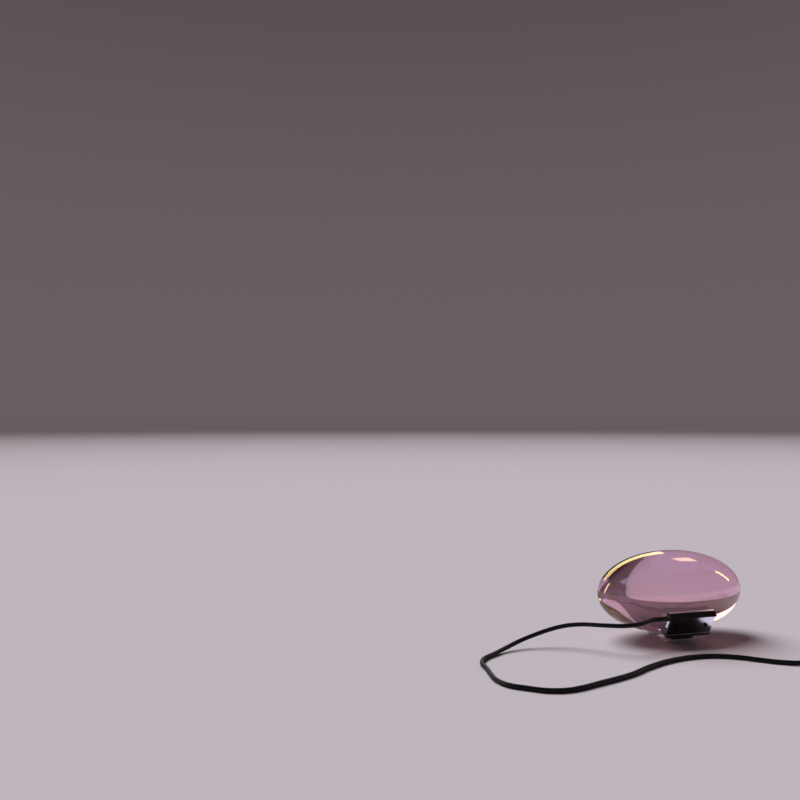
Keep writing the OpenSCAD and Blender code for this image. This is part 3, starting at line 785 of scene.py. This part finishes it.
class Maker:
    """Shared ways to make and dress pieces."""

    # Points nearer to each other than this are one, in metres
    MERGE = 2e-6
    # Faces that meet at less than this are one flat face
    FLAT = math.radians(1.0)
    # Edges sharper than this are rounded, in so many steps, to an arc
    SHARP = math.radians(24.0)
    STEPS = 2
    ARC = 0.5
    # Least cosine between a face's normal and the way that it looks
    FACING = 0.9999
    # Weight of large faces in the shading
    FACE_WEIGHT = 100

    @staticmethod
    def dress(name: str, finish: Finish) -> None:
        """Gives a CAD node its finish.

        Args:
            name: The node.
            finish: Its finish.
        """
        node = frame["nodes"][name]
        node.data.materials.clear()
        node.data.materials.append(finish.material())
        LOG.info("%s keeps its solid, in %s", name, finish.name)

    @staticmethod
    def add(
        name: str, data: bpy.types.ID, finish: Finish, body: Body, slot: str, *nodes: str
    ) -> bpy.types.Object:
        """Puts a new piece in the scene, on its body, in place of CAD nodes.

        Args:
            name: The piece's name.
            data: Its mesh or curve.
            finish: Its finish.
            body: The body that it rides on.
            slot: The record's material slot; not used.
            *nodes: The CAD nodes that it stands for.

        Returns:
            The piece.
        """
        piece = bpy.data.objects.new(name, data)
        bpy.context.scene.collection.objects.link(piece)
        data.materials.clear()
        data.materials.append(finish.material())
        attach(piece, body.value)
        if nodes:
            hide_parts(*nodes)
        LOG.info("%s rides on %s, in %s", name, body.value, finish.name)
        return piece

    @staticmethod
    def mesh(shape: bmesh.types.BMesh, name: str) -> bpy.types.Mesh:
        """Turns a shape into a mesh, and lets go of the shape.

        Args:
            shape: The shape.
            name: The mesh's name.

        Returns:
            The mesh.
        """
        mesh = bpy.data.meshes.new(name)
        shape.to_mesh(mesh)
        shape.free()
        return mesh

    @staticmethod
    def soften(
        name: str, node: str, width: float, finish: Finish, slot: str, body: Body = Body.LAMP,
        ends: Optional[Point] = None,
    ) -> bpy.types.Object:
        """Puts a softened copy in the place of a CAD node, shaded flat on its flat faces.

        Args:
            name: The piece's name.
            node: The CAD node.
            width: Width of the rounded edges, in metres.
            finish: Its finish.
            slot: The record's material slot.
            body: The body that it rides on.
            ends: The way that the faces with rounded edges look, where the other edges stay crisp.

        Returns:
            The piece.
        """
        piece = Maker.add(name, Maker.softened(node, width, ends), finish, body, slot, node)
        even = piece.modifiers.new("even_normals", "WEIGHTED_NORMAL")
        even.weight = Maker.FACE_WEIGHT
        even.keep_sharp = True
        return piece

    @staticmethod
    def softened(node: str, width: float, ends: Optional[Point]) -> bpy.types.Mesh:
        """A copy of a CAD node's mesh with its sharp edges rounded and marked.

        Args:
            node: The CAD node.
            width: Width of the rounding, in metres.
            ends: The way that the faces with rounded edges look, where the other edges stay crisp.

        Returns:
            The new mesh.
        """
        shape = bmesh.new()
        shape.from_mesh(frame["nodes"][node].data)
        bmesh.ops.remove_doubles(shape, verts=shape.verts, dist=Maker.MERGE)
        bmesh.ops.dissolve_limit(shape, angle_limit=Maker.FLAT, verts=shape.verts, edges=shape.edges)
        corners = [e for e in shape.edges if e.is_manifold and e.calc_face_angle(0.0) > Maker.SHARP]
        if ends:
            for edge in corners:
                facing = [abs(f.normal.dot(Vector(ends))) for f in edge.link_faces]
                edge.smooth = max(facing) > Maker.FACING
            corners = [e for e in corners if e.smooth]
        mark = shape.faces.layers.float.new(EDGE_MARK)
        rounded = bmesh.ops.bevel(
            shape, geom=corners, offset=width, segments=Maker.STEPS, profile=Maker.ARC, affect="EDGES",
            clamp_overlap=True,
        )
        for face in rounded["faces"]:
            face[mark] = 1.0
        bmesh.ops.remove_doubles(shape, verts=shape.verts, dist=Maker.MERGE)
        for face in shape.faces:
            face.smooth = True
        return Maker.mesh(shape, node + "_soft")


@dataclass(frozen=True)
class SoftBox:
    """One soft strip that glass and polish mirror, with its size in metres and its power in watts."""

    name: str
    place: Point
    wide: float
    high: float
    watts: float
    colour: Colour = (1.0, 0.9, 0.95)
    only: tuple[str, ...] = ()
    spared: tuple[str, ...] = ()

    def hang(self, aim: Point) -> None:
        """Hangs the light.

        Args:
            aim: The point that it faces.
        """
        data = bpy.data.lights.new(self.name, "AREA")
        data.shape = "RECTANGLE"
        data.size = self.wide
        data.size_y = self.high
        data.energy = self.watts
        data.color = self.colour
        light = bpy.data.objects.new(self.name, data)
        light.location = self.place
        light.rotation_mode = "QUATERNION"
        light.rotation_quaternion = (Vector(aim) - Vector(self.place)).to_track_quat("-Z", "Y")
        light.visible_camera = False
        light.visible_diffuse = False
        if self.only or self.spared:
            self.choose(light)
        bpy.context.scene.collection.objects.link(light)

    def choose(self, light: bpy.types.Object) -> None:
        """Lets the light shine on its chosen pieces alone, or on all but those that it spares.

        Args:
            light: The light.
        """
        group = bpy.data.collections.new(self.name + "_pieces")
        for piece in self.only + self.spared:
            group.objects.link(bpy.data.objects[piece])
        for member in group.collection_objects:
            member.light_linking.link_state = "INCLUDE" if self.only else "EXCLUDE"
        light.light_linking.receiver_collection = group


# Where both rear strips hang, and their size
REAR: dict[str, Union[Point, float]] = {"place": (0.06, 0.77, 0.5), "wide": 0.85, "high": 0.33}


@dataclass
class Studio:
    """The camera, the floor and the soft light round the lamp, in metres and degrees."""

    eye: Point = (-0.3707, -0.5563, 0.1642)
    gaze: Point = (0.278, 0.9604, 0.0175)
    lens: float = 38.25
    sensor: float = 36.0
    clip: Span = (0.01, 200.0)
    floor_half: float = 60.0
    horizon: Colour = (0.14, 0.112, 0.118)
    zenith: Colour = (0.05, 0.03, 0.035)
    sky_edge: Span = (0.1, 0.85)
    even: float = 3.2
    even_spread: float = 45.0
    even_turn: Point = (-34.0, -14.0, 0.0)
    middle: Point = (0.0, 0.0, 0.03)
    boxes: tuple[SoftBox, ...] = (
        SoftBox("left_strip", (-0.85, 0.35, 0.35), 0.12, 0.6, watts=1.6),
        SoftBox("right_strip", (0.8, -0.1, 0.35), 0.05, 0.3, watts=0.4, colour=(1.0, 0.86, 0.72)),
        SoftBox("top_box", (0.61, 0.24, 0.863), 0.2, 0.24, watts=0.6, colour=(1.0, 0.78, 0.84)),
        SoftBox("golden_rear_strip", **REAR, watts=3.3, colour=(1.0, 0.81, 0.5), only=(GLASS_NAME,)),
        SoftBox("plain_rear_strip", **REAR, watts=1.9, colour=(1.0, 0.96, 0.98), spared=(GLASS_NAME,)),
        SoftBox(
            "web_sheen", (0.023, -0.035, 0.001), 0.018, 0.016, watts=0.009, colour=(0.84, 0.8, 1.0),
            only=(BAR_NAME,),
        ),
    )

    def camera(self) -> None:
        """Stands the camera at the photograph's place."""
        data = bpy.data.cameras.new("photo_camera")
        data.lens = self.lens
        data.sensor_width = self.sensor
        data.clip_start, data.clip_end = self.clip
        camera = bpy.data.objects.new("photo_camera", data)
        camera.location = self.eye
        camera.rotation_mode = "QUATERNION"
        camera.rotation_quaternion = Vector(self.gaze).to_track_quat("-Z", "Y")
        bpy.context.scene.collection.objects.link(camera)
        bpy.context.scene.camera = camera

    def floor(self) -> None:
        """Lays the pale floor at the foot of the lamp."""
        half = self.floor_half
        corners = [(-half, -half, 0.0), (half, -half, 0.0), (half, half, 0.0), (-half, half, 0.0)]
        mesh = bpy.data.meshes.new("pale_floor")
        mesh.from_pydata(corners, [], [(0, 1, 2, 3)])
        mesh.materials.append(Tabletop("pale_floor").material())
        floor = bpy.data.objects.new("pale_floor", mesh)
        bpy.context.scene.collection.objects.link(floor)

    def sky(self) -> None:
        """Surrounds the scene with a plain backdrop, which is darker overhead than at the horizon."""
        world = bpy.data.worlds.new("plain_room")
        bpy.context.scene.world = world
        tree = Tree(world)
        up = tree.axis(tree.node("ShaderNodeTexCoord", out="Generated"), "Z")
        shade = tree.ramp(tree.span(up, self.sky_edge), ((0.0, self.horizon), (1.0, self.zenith)))
        lit = tree.node("ShaderNodeBackground", inputs={"Color": shade})
        tree.node("ShaderNodeOutputWorld", inputs={"Surface": lit})

    def lights(self) -> None:
        """Hangs the even light from above and the soft strips round the lamp."""
        data = bpy.data.lights.new("even_light", "SUN")
        data.energy = self.even
        data.angle = math.radians(self.even_spread)
        light = bpy.data.objects.new("even_light", data)
        light.rotation_euler = [math.radians(a) for a in self.even_turn]
        light.visible_camera = False
        light.visible_glossy = False
        light.visible_transmission = False
        bpy.context.scene.collection.objects.link(light)
        for box in self.boxes:
            box.hang(self.middle)

    def build(self) -> None:
        """Sets up the whole studio."""
        self.camera()
        self.floor()
        self.sky()
        self.lights()
        bpy.context.scene.view_settings.view_transform = "Standard"


@dataclass
class GlassEgg:
    """The solid glass ellipsoid that lies loose on the foot."""

    rings: int = 128
    spokes: int = 160

    def mesh(self) -> bpy.types.Mesh:
        """A fine ellipsoid in the box of its CAD solid, with its poles on the long axis.

        Returns:
            The mesh.
        """
        low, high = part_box("glass_egg")
        middle, half = (low + high) / 2, (high - low) / 2
        shape = bmesh.new()
        left = shape.verts.new((middle.x - half.x, middle.y, middle.z))
        rows = []
        for i in range(1, self.rings):
            turn = math.pi * i / self.rings
            row = []
            for j in range(self.spokes):
                spin = 2 * math.pi * j / self.spokes
                row.append(shape.verts.new((
                    middle.x - half.x * math.cos(turn),
                    middle.y + half.y * math.sin(turn) * math.cos(spin),
                    middle.z + half.z * math.sin(turn) * math.sin(spin),
                )))
            rows.append(row)
        right = shape.verts.new((middle.x + half.x, middle.y, middle.z))
        for j in range(self.spokes):
            k = (j + 1) % self.spokes
            shape.faces.new((left, rows[0][j], rows[0][k]))
            for near, far in zip(rows, rows[1:]):
                shape.faces.new((near[j], far[j], far[k], near[k]))
            shape.faces.new((right, rows[-1][k], rows[-1][j]))
        bmesh.ops.recalc_face_normals(shape, faces=shape.faces)
        for face in shape.faces:
            face.smooth = True
        return Maker.mesh(shape, GLASS_NAME)

    def build(self) -> None:
        """Makes and dresses the glass."""
        Maker.add(GLASS_NAME, self.mesh(), Paint.GLASS, Body.GLASS, "clear_glass", "glass_egg")


@dataclass
class LightBar:
    """The leaning bar with its light unit, on its clear foot."""

    bar_edge: float = 0.22 * MM
    foot_edge: float = 0.3 * MM
    # Least cosine to the bar's slope of a face that takes the painted highlight
    highlight_facing: float = 0.98

    def mark_painted_highlight(self, bar: bpy.types.Object) -> None:
        """Marks the faces that look up along the bar's slope, which take a pale pink painted highlight.

        Args:
            bar: The softened bar.
        """
        lean = math.radians(BAR_LEAN)
        up = Vector((0.0, -math.sin(lean), math.cos(lean)))
        mark = bar.data.attributes.new(PAINTED_HIGHLIGHT_MARK, "FLOAT", "FACE")
        for face, value in zip(bar.data.polygons, mark.data):
            value.value = 1.0 if face.normal.dot(up) > self.highlight_facing else 0.0

    def build(self) -> None:
        """Makes the softened bar and foot, and dresses the light unit."""
        bar = Maker.soften(BAR_NAME, "light_bar", self.bar_edge, Paint.BAR, "black_anodised")
        # Paints a highlight on the faces that look up the bar's slope
        self.mark_painted_highlight(bar)
        Maker.soften("clear_foot", "foot_plate", self.foot_edge, Paint.ACRYLIC, "clear_acrylic")
        for name, finish in (
            ("grip_sheet", Paint.SILICONE),
            ("cradle_strips", Paint.SILICONE),
            ("foot_screws", Paint.STEEL),
            ("led_board", Paint.BOARD),
            ("led_chips", Paint.CHIP),
            ("board_resistors", Paint.RESISTOR),
            ("window_frame", Paint.GUIDE),
            ("colour_window", Paint.WINDOW),
            ("frame_screws", Paint.BLACK_SCREW),
            ("cord_gland", Paint.RUBBER),
            ("lead_wires", Paint.WIRES),
        ):
            Maker.dress(name, finish)


@dataclass
class Lead:
    """The black lead in two lengths: lamp to switch, and switch to plug by way of the coil.

    Sizes and places are in millimetres and angles in degrees.
    """

    thick: float = 3.0
    round_steps: int = 5
    gland: Point = (-26.8, -30.562, 20.441)
    first_bend: Point = (-8.0, -0.5, 0.0)
    table: tuple[Point, ...] = (
        (-48, -37, 20), (-59, -36, 19.2), (-70, -27, 18.2), (-80, -15, 16.8), (-90, -7, 14.6),
        (-103, -3, 11), (-121, -3, 6), (-137, -9, 2.6), (-149, -17, 1.6), (-158, -24, 1.6),
        (-163.5, -34, 1.6), (-165, -46, 1.6), (-167, -58, 1.6), (-168, -69, 1.6), (-165, -80, 1.6),
        (-157, -88, 1.6), (-148, -95, 1.6), (-137, -98.5, 1.6), (-125, -97, 1.6), (-110, -92, 1.6),
        (-96, -87.5, 1.6), (-80, -81, 1.6), (-63, -71.5, 1.6), (-44, -63.5, 1.6), (-23, -59.5, 1.6),
        (-6, -61.5, 1.6), (7, -68.5, 1.6), (17, -78, 1.6), (26.5, -86, 1.6), (37, -91.5, 1.8),
        (46, -95, 3.4),
    )
    lead_cuts: int = 6
    switch_in: Point = (58.0, -96.0, 5.0)
    switch_out: Point = (118.0, -96.0, 5.0)
    out_near: Point = (8.0, 0.0, -0.8)
    out_far: float = 15.0
    out_far_rise: float = 0.5
    out_level: float = 21.0
    plug_in: Point = (185.0, -96.0, 4.2)
    tail_step: float = 0.15
    tail_points: int = 5
    coil_x: float = 145.0
    coil_inner: float = 12.0
    coil_turns: int = 3
    coil_layers: int = 4
    coil_soft: float = 45.0
    coil_climb: float = 180.0
    coil_start: float = -90.0
    coil_step: int = 6
    coil_cuts: int = 2
    loop_gap: float = 0.6
    layer_gap: float = 0.8
    tie_thick: float = 0.7
    tie_slack: float = 0.3

    def lead_route(self) -> list[Vector]:
        """The seen length: out of the bar, down to the table, round its loop and on to the switch.

        Returns:
            The points of the route, in millimetres.
        """
        gland, inlet = Vector(self.gland), Vector(self.switch_in)
        straight = Vector((self.thick, 0.0, 0.0))
        start = [gland, gland - straight, gland + Vector(self.first_bend)]
        return start + [Vector(p) for p in self.table] + [inlet - straight, inlet]

    @staticmethod
    def ease(step: float) -> float:
        """A smooth step from 0 to 1."""
        held = min(1.0, max(0.0, step))
        return held * held * (3.0 - 2.0 * held)

    def coil_reach(self, turn: float) -> float:
        """How far the spiral has gone outward at a turn angle.

        Args:
            turn: The angle along the whole coil, in degrees.

        Returns:
            The angle that counts towards the radius, eased where the spiral reverses.
        """
        span = self.coil_turns * TURN
        half, end = span / 2, self.coil_layers * span
        way = abs(turn % (2 * span) - span)

        def eased(angle: float) -> float:
            """The angle, rounded off near zero."""
            return math.hypot(angle, self.coil_soft) - self.coil_soft

        if way < half or turn < half or turn > end - half:
            return eased(way)
        return 2 * eased(half) - eased(span - way)

    def coil_point(self, turn: float) -> Vector:
        """One point of the coil.

        Args:
            turn: The angle along the whole coil, in degrees.

        Returns:
            The point, in millimetres.
        """
        span = self.coil_turns * TURN
        pitch, rise = self.thick + self.loop_gap, self.thick + self.layer_gap
        radius = self.coil_inner + pitch * self.coil_reach(turn) / TURN
        outer = self.coil_inner + pitch * self.coil_reach(0.0) / TURN
        layers = range(1, self.coil_layers)
        steps = sum(self.ease((turn - k * span) / self.coil_climb + 0.5) for k in layers)
        low = self.thick / 2 + self.tie_thick + self.tie_slack
        angle = math.radians(turn + self.coil_start)
        return Vector((
            self.coil_x + radius * math.cos(angle),
            self.switch_out[1] + outer + radius * math.sin(angle),
            low + rise * steps,
        ))

    def coil_route(self) -> list[Vector]:
        """The stored length: out of the switch, round the coil and down to the plug.

        Returns:
            The points of the route, in millimetres.
        """
        out, plug = Vector(self.switch_out), Vector(self.plug_in)
        straight = Vector((self.thick, 0.0, 0.0))
        low = self.coil_point(0.0).z
        start = [
            out,
            out + straight,
            out + Vector(self.out_near),
            Vector((out.x + self.out_far, out.y, low + self.out_far_rise)),
            Vector((out.x + self.out_level, out.y, low)),
        ]
        end = self.coil_layers * self.coil_turns * TURN
        coil = [self.coil_point(q) for q in range(0, end + 1, self.coil_step)]
        high, run = coil[-1].z, plug.x - self.thick - self.coil_x
        tail = []
        for k in range(1, self.tail_points + 1):
            share = k * self.tail_step
            drop = (plug.z - high) * self.ease(share)
            tail.append(Vector((self.coil_x + share * run, plug.y, high + drop)))
        return start + coil + tail + [plug - straight, plug]

    @staticmethod
    def smooth(route: Sequence[Vector], cuts: int) -> list[Vector]:
        """Puts points between those of a route, on a smooth curve through them.

        Args:
            route: The points.
            cuts: Parts that each stretch is split into.

        Returns:
            The finer route, with its first and last stretch straight.
        """
        fine = []
        last = len(route) - 1
        for i in range(last):
            a, b, c, d = (route[min(max(k, 0), last)] for k in (i - 1, i, i + 1, i + 2))
            for k in range(cuts):
                u = k / cuts
                if i in (0, last - 1):
                    fine.append(b.lerp(c, u))
                    continue
                square = (2 * a - 5 * b + 4 * c - d) * u ** 2
                cube = (3 * b - a - 3 * c + d) * u ** 3
                fine.append(0.5 * (2 * b + (c - a) * u + square + cube))
        return fine + [route[-1].copy()]

    def curve(self, name: str, route: Iterable[Vector]) -> tuple[bpy.types.Curve, float]:
        """A round curve along a route.

        Args:
            name: Its name.
            route: Its points, in millimetres.

        Returns:
            The curve, and its length in metres.
        """
        points = [p * MM for p in route]
        data = bpy.data.curves.new(name, "CURVE")
        data.dimensions = "3D"
        data.bevel_depth = self.thick / 2 * MM
        data.bevel_resolution = self.round_steps
        data.use_fill_caps = True
        line = data.splines.new("POLY")
        line.points.add(len(points) - 1)
        for spot, point in zip(line.points, points):
            spot.co = (*point, 1.0)
        line.use_smooth = True
        return data, sum((b - a).length for a, b in zip(points, points[1:]))

    def build(self) -> None:
        """Makes both lengths of the lead."""
        lead, long = self.curve("lead_to_switch", self.smooth(self.lead_route(), self.lead_cuts))
        first = Maker.add("lead_to_switch", lead, Paint.SHEATH, Body.LAMP, "cord_black", "cord_lead")
        coil, long = self.curve("lead_to_plug", self.smooth(self.coil_route(), self.coil_cuts))
        second = Maker.add("lead_to_plug", coil, Paint.SHEATH, Body.LAMP, "cord_black", "cord_coil")


@dataclass
class Switch:
    """The in-line rocker switch, with its sizes in metres and its angles in degrees."""

    shell_edge: float = 0.25 * MM
    rocker_edge: float = 0.3 * MM
    rocker_tilt: float = 8.0
    lobe_slope: float = 12.53
    lobe_out: float = 2.0 * MM
    lobe_up: float = 2.5 * MM
    rib_reach: tuple[float, ...] = (2.1 * MM, 2.9 * MM, 3.7 * MM)
    rib_half: float = 2.3 * MM
    rib_radius: float = 0.24 * MM
    rib_full: float = 0.94
    rib_tip: float = 0.55
    rib_sides: int = 10

    PIECES = ("switch_base", "switch_cover", "rocker_key", "rocker_ribs", "switch_contacts", "switch_screws",
              "switch_boots")

    def rib_ring(self, share: float) -> list[Vector]:
        """One ring of points round a rib, which narrows at its tips.

        Args:
            share: Where the ring is, from -1 at one tip to 1 at the other.

        Returns:
            The points, from the rib's middle.
        """
        thick = self.rib_radius * (1.0 if abs(share) < 1.0 else self.rib_tip)
        turns = [2 * math.pi * k / self.rib_sides for k in range(self.rib_sides)]
        return [Vector((thick * math.cos(t), share * self.rib_half, thick * math.sin(t))) for t in turns]

    def ribs(self) -> bpy.types.Mesh:
        """The round grip ribs across both lobes of the rocker, in its tilt at rest.

        Returns:
            The mesh.
        """
        shape = bmesh.new()
        joints = frame["record"]["behaviour"]["joints"]
        pivot = Vector(next(j for j in joints if j["name"] == "rocker_tip")["pos_m"])
        tilt = Matrix.Rotation(math.radians(self.rocker_tilt), 3, "Y")
        for side in (-1.0, 1.0):
            lobe = Matrix.Rotation(-side * math.radians(self.lobe_slope), 3, "Y")
            start = Vector((side * self.lobe_out, 0.0, self.lobe_up))
            for reach in self.rib_reach:
                middle = Vector((side * reach, 0.0, 0.0))
                rings = []
                for share in (-1.0, -self.rib_full, self.rib_full, 1.0):
                    ring = [pivot + tilt @ (start + lobe @ (middle + p)) for p in self.rib_ring(share)]
                    rings.append([shape.verts.new(p) for p in ring])
                for near, far in zip(rings, rings[1:]):
                    for k in range(self.rib_sides):
                        n = (k + 1) % self.rib_sides
                        shape.faces.new((near[k], near[n], far[n], far[k]))
                for ring in (rings[0], rings[-1]):
                    shape.faces.new(ring)
        bmesh.ops.recalc_face_normals(shape, faces=shape.faces)
        for face in shape.faces:
            face.smooth = len(face.verts) == 4
        return Maker.mesh(shape, "rocker_ribs")

    def build(self) -> None:
        """Makes the softened shells and rocker, and dresses what is in them."""
        Maker.soften("switch_base", "switch_lower", self.shell_edge, Paint.PLASTIC, "black_plastic")
        Maker.soften("switch_cover", "switch_upper", self.shell_edge, Paint.PLASTIC, "black_plastic")
        Maker.soften(
            "rocker_key", "switch_rocker", self.rocker_edge, Paint.ROCKER, "rocker_grey", Body.ROCKER
        )
        Maker.add("rocker_ribs", self.ribs(), Paint.ROCKER, Body.ROCKER, "rocker_grey")
        Maker.dress("switch_contacts", Paint.BRASS)
        Maker.dress("switch_screws", Paint.STEEL)
        Maker.dress("switch_boots", Paint.RUBBER)


@dataclass
class Plug:
    """The plug and the tie round the coil, with the widths of their rounded edges in metres."""

    grip_edge: float = 0.25 * MM
    shell_edge: float = 0.06 * MM
    tie_edge: float = 0.15 * MM
    along: Point = (1.0, 0.0, 0.0)

    PIECES = ("coil_strap", "plug_relief", "plug_handle", "plug_sleeve", "plug_tongue", "plug_contacts")

    def build(self) -> None:
        """Makes the softened grip, shell and tie, and dresses the rest."""
        Maker.soften("coil_strap", "coil_tie", self.tie_edge, Paint.STRAP, "tie_black")
        Maker.soften(
            "plug_handle", "plug_grip", self.grip_edge, Paint.RUBBER, "black_rubber", ends=self.along
        )
        Maker.soften("plug_sleeve", "plug_shell", self.shell_edge, Paint.PLATED, "bright_steel")
        Maker.dress("plug_relief", Paint.RUBBER)
        Maker.dress("plug_tongue", Paint.TONGUE)
        Maker.dress("plug_contacts", Paint.BRASS)


def main() -> None:
    """Builds the lamp, piece by piece, and then the studio round it."""
    logging.basicConfig(level=logging.INFO, format="%(name)s: %(message)s")
    for part in (GlassEgg(), LightBar(), Switch(), Plug(), Lead(), Studio()):
        part.build()


if __name__ == "__main__":
    main()
